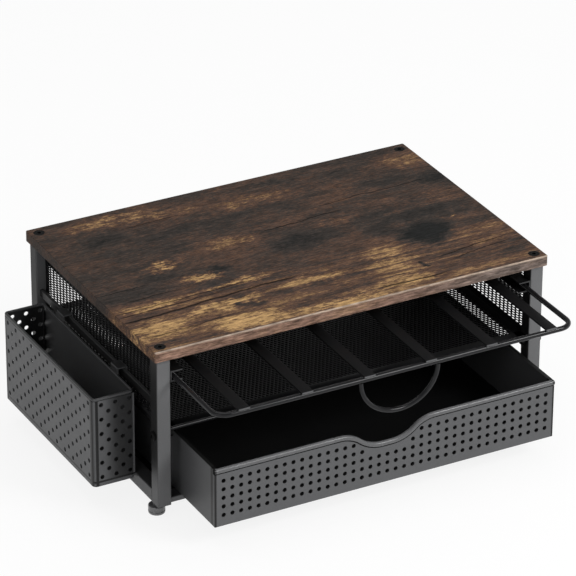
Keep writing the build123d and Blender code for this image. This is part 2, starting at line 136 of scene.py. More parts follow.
def mesh_piece(name, shape, body, replaced, finishes, smooth_angle=None):
    """Makes an object from a shape, which is an array of points and arrays of faces with equal corners. It rides on
    a body, replaces one node and has its finishes in order."""
    points, faces = shape
    mesh = bpy.data.meshes.new(name)
    loops = np.concatenate([np.asarray(f, int).ravel() for f in faces])
    sizes = np.concatenate([np.full(len(f), f.shape[1]) for f in map(np.asarray, faces)])
    mesh.vertices.add(len(points))
    mesh.vertices.foreach_set("co", np.asarray(points, float).ravel())
    mesh.loops.add(len(loops))
    mesh.loops.foreach_set("vertex_index", loops)
    mesh.polygons.add(len(sizes))
    mesh.polygons.foreach_set("loop_start", np.concatenate([[0], np.cumsum(sizes)[:-1]]))
    mesh.update(calc_edges=True)
    mesh.validate()
    if smooth_angle is not None:
        mesh.shade_smooth()
        mesh.set_sharp_from_angle(angle=math.radians(smooth_angle))
    piece = bpy.data.objects.new(name, mesh)
    bpy.context.scene.collection.objects.link(piece)
    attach(piece, body)
    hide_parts(replaced)
    for finish in finishes:
        mesh.materials.append(bpy.data.materials[finish])
    return piece


def halfway(lo, hi):
    """The middle of a box, axis by axis."""
    return [(a + b) / 2 for a, b in zip(lo, hi)]


def grid_faces(rows, cols, wrap_rows=False, wrap_cols=False):
    """Quads between neighbours of a rows by cols grid of points, closed on itself where asked."""
    i = np.arange(rows if wrap_rows else rows - 1)[:, None]
    j = np.arange(cols if wrap_cols else cols - 1)[None, :]
    i2, j2 = (i + 1) % rows, (j + 1) % cols
    return np.stack(np.broadcast_arrays(i * cols + j, i * cols + j2, i2 * cols + j2, i2 * cols + j), -1).reshape(-1, 4)


def carry(path, profile, normal, closed=False, caps=True):
    """A profile of (side, up) offsets carried along a flat path: side lies in the path's plane, up along its normal.
    At a point the side direction is the normal crossed with the path's mean direction there."""
    path = np.asarray(path, float)
    normal = np.asarray(normal, float)
    if closed:
        ahead = np.roll(path, -1, 0) - np.roll(path, 1, 0)
    else:
        ahead = np.gradient(path, axis=0)
    ahead /= np.linalg.norm(ahead, axis=1, keepdims=True)
    side = np.cross(normal, ahead)
    profile = np.asarray(profile, float)
    points = path[:, None] + profile[None, :, :1] * side[:, None] + profile[None, :, 1:] * normal
    rows, cols = len(path), len(profile)
    faces = [grid_faces(rows, cols, closed, True)]
    if caps and not closed:
        faces += [np.arange(cols)[None, ::-1], ((rows - 1) * cols + np.arange(cols))[None]]
    return points.reshape(-1, 3), faces


def joined(*parts):
    """Several (points, faces) sets as one, with each set's corner numbers moved past the points before it."""
    start, points, faces = 0, [], []
    for part_points, part_faces in parts:
        points.append(part_points)
        faces += [np.asarray(f) + start for f in part_faces]
        start += len(part_points)
    return np.vstack(points), faces


def strip(lo, hi, along):
    """A flat strip that fills a box: a softened section carried through its middle along one axis."""
    start, end = halfway(lo, hi), halfway(lo, hi)
    start[along], end[along] = lo[along], hi[along]
    width, thick = (hi[k] - lo[k] for k in range(3) if k != along)
    return carry([start, end], soft_box(width, thick, min(width, thick) * 0.3, 2), Y_AXIS if along == 2 else UP)


def ring(radius, count=20):
    """A circle of offsets, turning so that a carried tube's faces point outwards."""
    angle = np.linspace(0, 2 * np.pi, count, endpoint=False)
    return np.stack([radius * np.cos(angle), radius * np.sin(angle)], -1)


def soft_box(width, height, radius, steps=3):
    """A rectangle of offsets about its middle, with each corner a quarter circle."""
    turn = np.linspace(0, np.pi / 2, steps + 1)
    parts = []
    for k, (sx, sy) in enumerate(((1, 1), (-1, 1), (-1, -1), (1, -1))):
        angle = turn + k * np.pi / 2
        middle = (sx * (width / 2 - radius), sy * (height / 2 - radius))
        parts.append(np.stack([np.cos(angle), np.sin(angle)], -1) * radius + middle)
    return np.concatenate(parts)


def round_rectangle(lo, hi, radius, z, steps=10):
    """A closed rectangle of points at height z, anticlockwise from above, with rounded corners."""
    flat = soft_box(hi[0] - lo[0], hi[1] - lo[1], radius, steps) + halfway(lo[:2], hi[:2])
    return np.column_stack([flat, np.full(len(flat), z)])


def lathe(outline, centre, count=40):
    """An outline of (radius, height) turned about an upright axis at centre, closed at both poles."""
    outline = np.asarray(outline, float)
    angle = np.linspace(0, 2 * np.pi, count, endpoint=False)
    body = outline[1:-1]
    x = centre[0] + body[:, None, 0] * np.cos(angle)
    y = centre[1] + body[:, None, 0] * np.sin(angle)
    z = centre[2] + np.repeat(body[:, 1:], count, 1)
    points = np.stack([x, y, z], -1).reshape(-1, 3)
    low, high = len(points), len(points) + 1
    poles = [[centre[0], centre[1], centre[2] + outline[k, 1]] for k in (0, -1)]
    j = np.arange(count)
    j2 = (j + 1) % count
    last = (len(body) - 1) * count
    faces = [
        grid_faces(len(body), count, False, True),
        np.stack([np.full(count, low), j2, j], -1),
        np.stack([np.full(count, high), last + j, last + j2], -1),
    ]
    return np.vstack([points, poles]), faces


# ---------------------------------------------------------------- shader nodes

GREY = (0.1, 0.1, 0.1, 1)


def feed(tree, socket, value):
    """Links a socket into an input, or sets the input to a value. A colour of three numbers gets its fourth."""
    if isinstance(value, bpy.types.NodeSocket):
        tree.links.new(value, socket)
    elif socket.type == "RGBA":
        socket.default_value = (*value[:3], 1)
    else:
        socket.default_value = value


def group(name, inputs, outputs):
    """A shader node group: its tree, its inputs and its outputs. Each input is named with its default, whose length
    gives its type. An output named Color is a colour, and any other is a number."""
    tree = bpy.data.node_groups.new(name, "ShaderNodeTree")
    for label, default in inputs.items():
        kind = {3: "Vector", 4: "Color"}[len(default)] if isinstance(default, tuple) else "Float"
        socket = tree.interface.new_socket(label, in_out="INPUT", socket_type="NodeSocket" + kind)
        socket.default_value = default
    for label in outputs:
        kind = "Color" if label == "Color" else "Float"
        tree.interface.new_socket(label, in_out="OUTPUT", socket_type="NodeSocket" + kind)
    return tree, tree.nodes.new("NodeGroupInput").outputs, tree.nodes.new("NodeGroupOutput").inputs


def placed(tree, label, **values):
    """A shared group placed in a tree, with its inputs fed by name. Gives its outputs."""
    made = tree.nodes.new("ShaderNodeGroup")
    made.node_tree = bpy.data.node_groups[label]
    for key, value in values.items():
        feed(tree, made.inputs[key.replace("_", " ").title()], value)
    return made.outputs


def node(tree, kind, **values):
    """A node with its inputs fed by name."""
    made = tree.nodes.new(kind)
    for key, value in values.items():
        feed(tree, made.inputs[key.replace("_", " ")], value)
    return made


def ramp(tree, factor, stops):
    """A colour ramp through (place, grey or colour) stops."""
    made = tree.nodes.new("ShaderNodeValToRGB")
    elements = made.color_ramp.elements
    while len(elements) < len(stops):
        elements.new(0.5)
    for element, (place, value) in zip(elements, stops):
        element.position = place
        element.color = (value, value, value, 1) if isinstance(value, float) else (*value, 1)
    tree.links.new(factor, made.inputs[0])
    return made.outputs[0]


def mix(tree, factor, first, second, blend="MIX"):
    """Mixes two colours; factor, first and second are sockets or values."""
    made = tree.nodes.new("ShaderNodeMix")
    made.data_type = "RGBA"
    made.blend_type = blend
    for index, value in ((0, factor), (6, first), (7, second)):
        feed(tree, made.inputs[index], value)
    return made.outputs[2]


def maths(tree, operation, *values):
    """One operation on sockets and numbers, taken two by two from the left, or on one alone."""

    def step(first, second=0.0):
        made = tree.nodes.new("ShaderNodeMath")
        made.operation = operation
        feed(tree, made.inputs[0], first)
        feed(tree, made.inputs[1], second)
        return made.outputs[0]

    return reduce(step, values) if len(values) > 1 else step(values[0])


def plus(tree, *values):
    """The sum of sockets and numbers."""
    return maths(tree, "ADD", *values)


def minus(tree, first, second):
    """The first less the second."""
    return maths(tree, "SUBTRACT", first, second)


def times(tree, *values):
    """The product of sockets and numbers."""
    return maths(tree, "MULTIPLY", *values)


def vector_maths(tree, operation, first, second=(0, 0, 0), output="Vector", second_input=1):
    """One operation on two vectors, or on a vector and what another input takes."""
    made = tree.nodes.new("ShaderNodeVectorMath")
    made.operation = operation
    feed(tree, made.inputs[0], first)
    feed(tree, made.inputs[second_input], second)
    return made.outputs[output]


def scaled(tree, colour, factor):
    """A colour times a number."""
    return vector_maths(tree, "SCALE", colour, factor, second_input="Scale")


def eased(tree, value, low, high, to_low=0.0, to_high=1.0):
    """A smooth step: to_low up to low and to_high from high on."""
    made = node(tree, "ShaderNodeMapRange", Value=value, From_Min=low, From_Max=high, To_Min=to_low, To_Max=to_high)
    made.interpolation_type = "SMOOTHSTEP"
    return made.outputs[0]


def place_on(tree, coordinates="Object"):
    """Object coordinates, or the face's normal or the world's direction where asked."""
    return tree.nodes.new("ShaderNodeTexCoord").outputs[coordinates]


def axes_of(tree, vector):
    """A vector's X, Y and Z."""
    return node(tree, "ShaderNodeSeparateXYZ", Vector=vector).outputs


def noise(tree, vector, scale, detail, rough=0.55, warp=0.0, output=0):
    """Noise on a vector."""
    numbers = {"Scale": scale, "Detail": detail, "Roughness": rough, "Distortion": warp}
    return node(tree, "ShaderNodeTexNoise", Vector=vector, **numbers).outputs[output]


def drawn_noise(tree, scale, detail, rough, warp=0.0, moved=(0, 0, 0)):
    """Noise on object coordinates that are first scaled along each axis, and then moved."""
    mapping = node(tree, "ShaderNodeMapping", Vector=place_on(tree), Scale=scale, Location=moved)
    return noise(tree, mapping.outputs[0], 1.0, detail, rough, warp)


# ---------------------------------------------------------------- shared effects


def coat_group():
    """Powder coat: a fine orange peel, as a tint, a height and a roughness."""
    inputs = {"Color": GREY, "Grain": 900.0, "Tint": 0.12}
    tree, given, sent = group("powder_coat", inputs, ("Color", "Height", "Roughness"))
    peel = noise(tree, place_on(tree), given["Grain"], 3.0, 0.5)
    broad = noise(tree, place_on(tree), 35.0, 3.0)
    shade = plus(tree, times(tree, peel, 0.7), times(tree, broad, 0.3))
    swing = times(tree, minus(tree, shade, 0.5), given["Tint"])
    feed(tree, sent["Color"], scaled(tree, given["Color"], plus(tree, times(tree, swing, 2.0), 1.0)))
    feed(tree, sent["Height"], peel)
    feed(tree, sent["Roughness"], plus(tree, times(tree, broad, 0.16), 0.34))


def painted_face_light_group():
    """Paints light and shade by which way a face looks: scales a colour by the sum of each tone times its axis's
    squared share of the normal. The side's tone passes to the foot's tone down by the floor, as a painted reflection
    of the floor."""
    numbers = {"Front": 1.0, "Side": 1.0, "Top": 1.0, "Foot Side": 1.0, "Foot Low": 20 * MM, "Foot High": 60 * MM}
    tree, given, sent = group("painted_face_light", {"Color": GREY, **numbers}, ("Color",))
    normal = place_on(tree, "Normal")
    shares = axes_of(tree, vector_maths(tree, "MULTIPLY", normal, normal))
    height = axes_of(tree, place_on(tree))[2]
    side = eased(tree, height, given["Foot Low"], given["Foot High"], given["Foot Side"], given["Side"])
    face_light_and_shade = (side, given["Front"], given["Top"])
    total = plus(tree, *(times(tree, share, tone) for share, tone in zip(shares, face_light_and_shade)))
    feed(tree, sent["Color"], scaled(tree, given["Color"], total))


def bin_shade_group():
    """Paints shade on faces inside a box, deepest at its bottom: how far a place is inside is the least of its
    distances from the six sides."""
    box = {"Low": (0, 0, 0), "High": (1, 1, 1)}
    tree, given, sent = group("painted_bin_shade", {"Color": GREY, **box, "Mouth": 0.5, "Bottom": 0.2}, ("Color",))
    above = vector_maths(tree, "SUBTRACT", place_on(tree), given["Low"])
    below = vector_maths(tree, "SUBTRACT", given["High"], place_on(tree))
    least = maths(tree, "MINIMUM", *axes_of(tree, vector_maths(tree, "MINIMUM", above, below)))
    within = eased(tree, least, 0.0, 0.15 * MM)
    tall = axes_of(tree, vector_maths(tree, "SUBTRACT", given["High"], given["Low"]))[2]
    share = maths(tree, "DIVIDE", axes_of(tree, above)[2], tall)
    deep = eased(tree, share, 0.0, 1.0, given["Bottom"], given["Mouth"])
    shade = plus(tree, times(tree, within, minus(tree, deep, 1.0)), 1.0)
    feed(tree, sent["Color"], scaled(tree, given["Color"], shade))


def painted_line_group():
    """Scales a colour near one place along an axis: a painted shade line at a seam or a fold where the tone is below
    one, and a painted highlight on an edge where it is above one.
    """
    line = {"Axis": (1, 0, 0), "Place": 0.0, "Half Width": 0.5 * MM, "Tone": 0.2}
    tree, given, sent = group("painted_shade_highlight_line", {"Color": GREY, **line}, ("Color",))
    along = vector_maths(tree, "DOT_PRODUCT", place_on(tree), given["Axis"], "Value")
    away = maths(tree, "ABSOLUTE", minus(tree, along, given["Place"]))
    near, far = (times(tree, given["Half Width"], share) for share in (0.6, 1.2))
    feed(tree, sent["Color"], scaled(tree, given["Color"], eased(tree, away, near, far, given["Tone"], 1.0)))


def blotch_group():
    """A soft patch with a ragged edge: one at its middle, nought beyond its half sizes. The place is first moved by
    noise, so that no patch is an ellipse."""
    tree, given, sent = group("blotch", {"Middle": (0, 0, 0), "Half Size": (20 * MM, 10 * MM, 1)}, ("Value",))
    wander = noise(tree, place_on(tree), 55.0, 5.0, 0.7, output="Color")
    off = vector_maths(tree, "SUBTRACT", wander, (0.5, 0.5, 0.5))
    off = vector_maths(tree, "MULTIPLY", off, (45 * MM, 30 * MM, 0))
    moved = vector_maths(tree, "ADD", place_on(tree), off)
    share = vector_maths(tree, "DIVIDE", vector_maths(tree, "SUBTRACT", moved, given["Middle"]), given["Half Size"])
    length = vector_maths(tree, "LENGTH", share, output="Value")
    feed(tree, sent["Value"], eased(tree, length, 0.25, 1.15, 1.0, 0.0))


def crack_group():
    """A dark line along X: how far Y is from a slanting, wandering line, faded at the line's two ends."""
    ends = {"From X": 0.0, "To X": 0.1, "From Y": 0.0}
    line = {**ends, "Slope": 0.0, "Wander": 4 * MM, "Half Width": 0.6 * MM}
    tree, given, sent = group("crack", line, ("Value",))
    x, y, _ = axes_of(tree, place_on(tree))
    bend = drawn_noise(tree, (30, 8, 8), 4.0, 0.6)
    run = minus(tree, x, given["From X"])
    line = plus(tree, given["From Y"], times(tree, run, given["Slope"]))
    sway = times(tree, minus(tree, bend, 0.5), given["Wander"])
    away = maths(tree, "ABSOLUTE", minus(tree, y, plus(tree, line, sway)))
    near, far = (times(tree, given["Half Width"], share) for share in (0.3, 2.2))
    thin = eased(tree, away, near, far, 1.0, 0.0)
    start = eased(tree, run, 0.0, 12 * MM)
    end = eased(tree, minus(tree, given["To X"], x), 0.0, 20 * MM)
    feed(tree, sent["Value"], times(tree, thin, times(tree, start, end)))


# Patches of the printed timber, in mm: middle X and Y, half length, half width, and how far they go to gold or char.
GOLD = (
    (-82, 138, 52, 16, 0.20), (-120, 140, 30, 11, 0.10), (-92, 46, 22, 9, 0.36), (-68, 14, 26, 8, 0.36),
    (-48, -6, 36, 6, 0.30), (-126, -12, 46, 6, 0.26), (-78, -36, 42, 9, 0.40), (-70, -70, 38, 13, 0.42),
    (-142, -50, 40, 19, 0.24), (-20, 60, 34, 12, 0.14), (30, 118, 50, 14, 0.14), (74, 52, 30, 12, 0.12),
    (80, -30, 28, 30, 0.19), (74, -64, 34, 14, 0.19), (10, -76, 66, 13, 0.28), (160, 17, 8, 2, 0.26),
    (176, 54, 26, 14, 0.08), (180, 128, 30, 24, 0.12), (140, -72, 50, 12, 0.05), (166, -36, 34, 20, 0.01),
    (10, -30, 40, 12, 0.18), (110, 90, 40, 30, 0.05), (-40, 130, 30, 14, 0.10),
)  # fmt: skip
CHAR = (
    (-114, 112, 36, 12, 0.07), (-60, 98, 40, 14, 0.10), (-140, 15, 40, 16, 0.12), (-104, 30, 26, 10, 0.10),
    (-53, 20, 20, 9, 0.24), (-55, -47, 18, 8, 0.20), (-70, 72, 30, 10, 0.06), (131, -3, 27, 27, 0.46),
    (143, 33, 46, 14, 0.18), (186, 88, 24, 11, 0.16), (140, 98, 34, 12, 0.12), (100, 22, 18, 16, 0.10),
    (97, -52, 5, 4, 0.34), (30, 30, 36, 16, 0.14), (60, 142, 40, 8, 0.10), (-10, -80, 16, 5, 0.14),
    (182, -60, 18, 5, 0.10), (-150, 70, 20, 30, 0.02), (118, 128, 26, 12, 0.08),
)  # fmt: skip
# Cracks, in mm: from X, to X, Y at the start, slope, wander, half width.
CRACKS = (
    (-168, 6, -29, 0.06, 9, 0.9), (-168, -28, -13, 0.03, 5, 0.5), (-166, -60, -19, 0.04, 6, 0.45),
    (-150, -90, 2, 0.05, 7, 0.4), (-168, -110, 22, 0.0, 8, 0.4), (42, 118, -69, -0.02, 6, 0.8),
    (112, 196, -44, 0.14, 7, 0.5), (120, 194, -52, 0.16, 7, 0.4), (-158, -70, -58, 0.05, 8, 0.4),
    (6, 96, 64, 0.06, 10, 0.5), (-96, -30, 120, 0.04, 10, 0.4), (70, 190, 84, 0.02, 12, 0.4),
)  # fmt: skip


def summed_patches(tree, patches):
    """The sum of each patch's value times its strength."""
    values = []
    for x, y, long, wide, strength in patches:
        patch = placed(tree, "blotch", middle=(x * MM, y * MM, 0), half_size=(long * MM, wide * MM, 1))
        values.append(times(tree, patch[0], strength))
    return plus(tree, *values)


def timber_group(look):
    """Rustic printed timber. A tone from nought to one is the sum of broad cloud noise, streaks along X, the patches
    and flecks; a ramp turns it to colour, and cracks and fibre darken it. Edge faces take the edge band's colour, and
    a pale painted highlight, broken up by noise, runs along the front's top arris."""
    tree, given, sent = group("rustic_timber", {"Flecks": 1.0}, ("Color", "Height", "Roughness"))
    clouds = drawn_noise(tree, (16, 38, 38), 8.0, 0.65, 0.5, (0.3, 1.7, 0))
    streaks = drawn_noise(tree, (13, 190, 190), 7.0, 0.7, 0.3)
    flecks = drawn_noise(tree, (240, 900, 900), 3.0, 0.7)
    fibre = drawn_noise(tree, (110, 620, 620), 5.0, 0.75)
    mottle = drawn_noise(tree, (150, 330, 330), 4.0, 0.7, 0.0, (0, 3, 0))
    x, y, z = axes_of(tree, place_on(tree))
    planks = eased(tree, y, 8 * MM, -14 * MM)
    middle_tone = 0.378
    tone = plus(
        tree,
        middle_tone,
        times(tree, minus(tree, clouds, 0.5), 0.55),
        times(tree, minus(tree, streaks, 0.5), plus(tree, times(tree, planks, 0.6), 0.24)),
        times(tree, minus(tree, flecks, 0.5), 0.64, given["Flecks"]),
        times(tree, planks, 0.1),
    )
    ragged = times(tree, eased(tree, mottle, 0.38, 0.6, 0.35, 1.35), eased(tree, streaks, 0.36, 0.56, 0.6, 1.2))
    gilded = times(tree, summed_patches(tree, GOLD), ragged)
    tone = minus(tree, plus(tree, tone, gilded), summed_patches(tree, CHAR))
    body = ramp(tree, tone, [(0.14, look.char), (0.34, look.dark), (0.52, look.mid), (0.82, look.gold)])

    facing_front = maths(tree, "ABSOLUTE", axes_of(tree, place_on(tree, "Normal"))[1])
    aged = mix(tree, eased(tree, x, 20 * MM, 170 * MM), look.edge, look.aged)
    laid = drawn_noise(tree, (45, 1, 430), 6.0, 0.75)
    edge_band = mix(tree, 1.0, aged, ramp(tree, laid, [(0.32, 0.2), (0.68, 1.85)]), "MULTIPLY")
    banded = mix(tree, times(tree, facing_front, 0.8), body, edge_band)

    # A painted highlight along the front's top arris, broken up by noise.
    lo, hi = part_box("top_board")
    arris_high = eased(tree, z, hi.z - 1.5 * MM, hi.z - 0.3 * MM)
    arris_front = eased(tree, y, lo.y + 1.8 * MM, lo.y + 0.4 * MM)
    highlight_breaks = eased(tree, drawn_noise(tree, (60, 40, 40), 5.0, 0.7), 0.22, 0.44)
    arris_highlight = times(tree, arris_high, arris_front, highlight_breaks, 0.95)
    banded = mix(tree, arris_highlight, banded, look.arris_highlight)
    coloured = mix(tree, 1.0, banded, ramp(tree, fibre, [(0.34, 0.5), (0.66, 1.46)]), "MULTIPLY")

    splits = []
    for x0, x1, y0, slope, sway, wide in CRACKS:
        ends = {"from_x": x0 * MM, "to_x": x1 * MM, "from_y": y0 * MM}
        splits.append(placed(tree, "crack", **ends, slope=slope, wander=sway * MM, half_width=wide * MM)[0])
    whole = minus(tree, 1.0, times(tree, maths(tree, "MAXIMUM", *splits), 0.85))
    feed(tree, sent["Color"], scaled(tree, coloured, whole))
    feed(tree, sent["Height"], plus(tree, times(tree, fibre, 0.4), whole))
    feed(tree, sent["Roughness"], plus(tree, times(tree, flecks, 0.25), 0.45))


# ---------------------------------------------------------------- materials


def principled(name, specular, **values):
    """A new material, its tree and its Principled BSDF, with inputs fed by name."""
    material = bpy.data.materials.new(name)
    material.use_nodes = True
    shader = material.node_tree.nodes["Principled BSDF"]
    shader.inputs["Specular IOR Level"].default_value = specular
    for key, value in values.items():
        feed(material.node_tree, shader.inputs[key.replace("_", " ")], value)
    return material, material.node_tree, shader


def bump(tree, shader, height, strength, distance):
    """Feeds a height into a shader's normal."""
    made = node(tree, "ShaderNodeBump", Height=height, Strength=strength, Distance=distance)
    feed(tree, shader.inputs["Normal"], made.outputs[0])


def face_light_and_shade(front, side, top, foot_side=None):
    """A coat's painted light and shade by face. The side's tone goes on to the floor where foot_side isn't given."""
    return {"front": front, "side": side, "top": top, "foot_side": side if foot_side is None else foot_side}


def coated(name, colour, tint=0.12, specular=0.3, gloss=0.0, painted_light=None, inside=None, painted_lines=()):
    """A powder-coated finish: the coat's tint, roughness and peel, then painted light and shade by face, painted shade
    inside a bin, and painted lines of shade and highlight along folds, bends and edges.
    """
    _, tree, shader = principled(name, specular)
    coat = placed(tree, "powder_coat", color=colour, tint=tint)
    shade = coat["Color"]
    if painted_light:
        shade = placed(tree, "painted_face_light", color=shade, **painted_light)[0]
    if inside:
        shade = placed(tree, "painted_bin_shade", color=shade, **inside)[0]
    for axis, place, half_width, tone in painted_lines:
        shade = placed(tree, "painted_shade_highlight_line", color=shade, axis=axis, place=place, half_width=half_width, tone=tone)[0]
    feed(tree, shader.inputs["Base Color"], shade)
    feed(tree, shader.inputs["Roughness"], minus(tree, coat["Roughness"], gloss))
    bump(tree, shader, coat["Height"], 0.5, 0.06 * MM)


def glossy_black(name, colour, roughness, specular):
    """A smooth black lacquer, with faint waves."""
    _, tree, shader = principled(name, specular)
    waves = noise(tree, place_on(tree), 140.0, 2.0)
    deeper = [c * 0.8 for c in colour]
    feed(tree, shader.inputs["Base Color"], ramp(tree, waves, [(0.3, deeper), (0.7, colour)]))
    feed(tree, shader.inputs["Roughness"], plus(tree, times(tree, waves, 0.08), roughness))
    bump(tree, shader, waves, 0.3, 0.05 * MM)


def timber(name):
    """The board's printed timber."""
    _, tree, shader = principled(name, 0.05)
    wood = placed(tree, "rustic_timber")
    feed(tree, shader.inputs["Base Color"], wood["Color"])
    feed(tree, shader.inputs["Roughness"], wood["Roughness"])
    bump(tree, shader, wood["Height"], 0.35, 0.3 * MM)


def wear(names, finish):
    """Gives a finish to carried-over nodes."""
    for name in names:
        mesh = NODES[name].data
        mesh.materials.clear()
        mesh.materials.append(bpy.data.materials[finish])


def starting(*starts):
    """The nodes whose names start with one of the words given."""
    return [name for name in NODES if name.startswith(starts)]


# ---------------------------------------------------------------- operators


class POD_OT_finishes(bpy.types.Operator):
    """Makes the shared node groups and every finish"""

    bl_idname = "pod.finishes"
    bl_label = "Finishes"

    def execute(self, context):
        steel = context.scene.pod_steel
        for make in (coat_group, painted_face_light_group, bin_shade_group, painted_line_group, blotch_group, crack_group):
            make()
        timber_group(context.scene.pod_board)
        timber("rustic timber")
        # Frame and channels: painted shade on side and top faces; the frame's sides lighten near the floor as a
        # painted reflection of the floor.
        coated("frame coat", steel.frame, specular=0.18, painted_light=face_light_and_shade(1.05, 0.05, 0.25, 0.6))
        coated("channel coat", steel.frame, specular=0.1, painted_light=face_light_and_shade(0.4, 0.05, 0.05))
        coated("mesh coat", steel.dark, tint=0.05, specular=0.05)
        coated("bar coat", steel.dark, tint=0.05, specular=0.06)
        coated("bar end coat", steel.sheet, tint=0.05)
        coated("gap shade", steel.gap, tint=0.02, specular=0.02)
        coated("screw oxide", steel.screw, tint=0.05, specular=0.04)
        glossy_black("wire lacquer", steel.wire, 0.1, 0.2)
        glossy_black("foot plastic", steel.foot, 0.06, 1.0)
        drawer_finishes(steel.sheet)
        basket_finishes(steel.sheet)
        return {"FINISHED"}


# How far the box of a bin's inside, which is painted darker as shade, reaches past the sheet's inner face.
SLIVER = 0.1 * MM


def drawer_finishes(colour):
    """The drawer's coats, with painted light and shade: a little darker inside as painted shade, dark on faces looking
    up such as the sides' top edges, and painted shade lines just behind the front and along its two folds. A fold's
    line runs where X and Y add up, or differ, to the front's corner, so it marks both faces there."""
    front_lo, front_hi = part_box("drawer_front")
    left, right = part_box("drawer_side_left")[1].x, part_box("drawer_side_right")[0].x
    low = (left - SLIVER, front_lo.y + 0.4 * MM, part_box("drawer_floor")[0].z + 0.5 * MM)
    high = (right + SLIVER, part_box("drawer_back")[0].y + SLIVER, front_hi.z + 6 * MM)
    inside = {"low": low, "high": high, "mouth": 1.0, "bottom": 0.9}
    # A painted shade line just behind the front's returns, on the sides and the floor.
    lap = (Y_AXIS, front_hi.y + 2.0 * MM, 2.2 * MM, 0.03)
    coated("drawer coat", colour, painted_light=face_light_and_shade(1.0, 0.66, 0.07), inside=inside, painted_lines=[lap])
    # Painted shade lines along the front's two folds.
    left_fold_shade = ((1, 1, 0), front_lo.x + front_lo.y, 1.7 * MM, 0.03)
    right_fold_shade = ((-1, 1, 0), front_lo.y - front_hi.x, 1.7 * MM, 0.03)
    coated("drawer front coat", colour, painted_light=face_light_and_shade(1.12, 0.75, 0.3), inside=inside, painted_lines=[left_fold_shade, right_fold_shade])
    # The rim: a painted highlight on its top, and painted shade on its sides and at its two ends.
    ends = [(X_AXIS, front_hi.x, 2.2 * MM, 0.05), (X_AXIS, front_lo.x, 1.4 * MM, 0.05)]
    coated("drawer rim coat", colour, gloss=0.16, specular=0.5, painted_light=face_light_and_shade(1.1, 0.1, 1.5), painted_lines=ends)


def basket_finishes(colour):
    """The basket's coats, with painted light and shade: darker inside as painted shade, and painted shade lines at the
    bends and above the bottom band. The end walls take a painted shadow towards the leg and a painted highlight on
    their edge there."""
    lo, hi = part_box("basket_outer_wall")
    x0, x1 = lo.x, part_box("basket_inner_wall")[0].x
    y0, y1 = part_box("basket_front_wall")[0].y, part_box("basket_rear_wall")[1].y
    sheet = hi.x - lo.x
    floor_lo, floor_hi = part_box("basket_floor")
    low = (x0 + sheet - SLIVER, y0 + sheet - SLIVER, floor_lo.z + 0.5 * MM)
    high = (x1 + SLIVER, y1 - sheet + SLIVER, hi.z + 8 * MM)
    inside = {"low": low, "high": high, "mouth": 0.5, "bottom": 0.35}
    bend = 3.5 * MM
    # Painted shade lines above the bottom band and at the bends; on the end walls a painted shadow near the leg and a
    # painted highlight on the edge there.
    band = (UP, floor_hi.z, 1.0 * MM, 0.02)
    front_bend_shade = (X_AXIS, x0 + bend, 1.4 * MM, 0.02)
    side_bend_shades = [(Y_AXIS, y, 2.2 * MM, 0.02) for y in (y0 + bend, y1 - bend)]
    leg_shadow = (X_AXIS, x1 + 1.5 * MM, 24 * MM, 0.26)
    edge_highlight = (X_AXIS, x1 + 0.2 * MM, 0.8 * MM, 4.0)
    walls, ends = [band, front_bend_shade, *side_bend_shades], [band, front_bend_shade, leg_shadow, edge_highlight]
    # Painted light on front faces, and painted shade on side and top faces and inside.
    for name, painted_lines in (("basket coat", walls), ("basket end coat", ends)):
        coated(name, colour, painted_light=face_light_and_shade(1.25, 0.76, 0.25), inside=inside, painted_lines=painted_lines)
    # The rim: painted shade on its sides and top.
    coated("basket rim coat", colour, gloss=0.1, painted_light=face_light_and_shade(1.0, 0.3, 0.45))


class POD_OT_board(bpy.types.Operator):
    """Dresses the timber top and its screws"""

    bl_idname = "pod.board"
    bl_label = "Board"

    def execute(self, context):
        wear(["top_board"], "rustic timber")
        wear(starting("board_screw"), "screw oxide")
        return {"FINISHED"}


class POD_OT_frame(bpy.types.Operator):
    """Dresses the legs, rails, side bars, channels, runners and their fixings"""

    bl_idname = "pod.frame"
    bl_label = "Frame"

    def execute(self, context):
        wear(starting("leg_front", "leg_rear", "bottom_rail", "side_bar"), "frame coat")
        wear(starting("tray_channel", "drawer_runner"), "channel coat")
        wear(["leg_top_inserts", "foot_inserts", "shelf_screws"], "screw oxide")
        return {"FINISHED"}


class POD_OT_feet(bpy.types.Operator):
    """Turns the four feet: a disc with a grooved band and a shallow dish on top, on a stem"""

    bl_idname = "pod.feet"
    bl_label = "Feet"

    def execute(self, context):
        for name in starting("foot_front", "foot_rear"):
            lo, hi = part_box(name)
            x, y, _ = halfway(lo, hi)
            outline = foot_outline((hi.x - lo.x) / 2, hi.z - lo.z)
            shape = lathe(outline, (x, y, lo.z))
            mesh_piece("turned_" + name, shape, "stand", name, ["foot plastic"], 40)
        return {"FINISHED"}


def foot_outline(radius, top):
    """Radius and height from the bottom pole to the top one: a round lower edge, a groove that is half a wave deep, a
    round upper edge, a shallow dish and the stem."""
    pad, stem = 7.5 * MM, 2.5 * MM
    low_round, high_round, groove = 1.2 * MM, 0.9 * MM, 0.5 * MM
    turn = np.linspace(0, np.pi / 2, 6)
    waist = np.linspace(0, np.pi, 7)
    low = np.stack([np.sin(turn), -np.cos(turn)], -1) * low_round + (radius - low_round, low_round)
    band = np.stack([radius - groove * np.sin(waist), 3.2 * MM - 0.8 * MM * np.cos(waist)], -1)
    high = np.stack([np.cos(turn), np.sin(turn)], -1) * high_round + (radius - high_round, pad - high_round)
    dish = [(radius - 2.0 * MM, pad - 0.5 * MM), (stem * 1.3, pad - 0.5 * MM), (stem, pad)]
    return [(0, 0), *low, *band, *high, *dish, (stem, top), (0, top)]


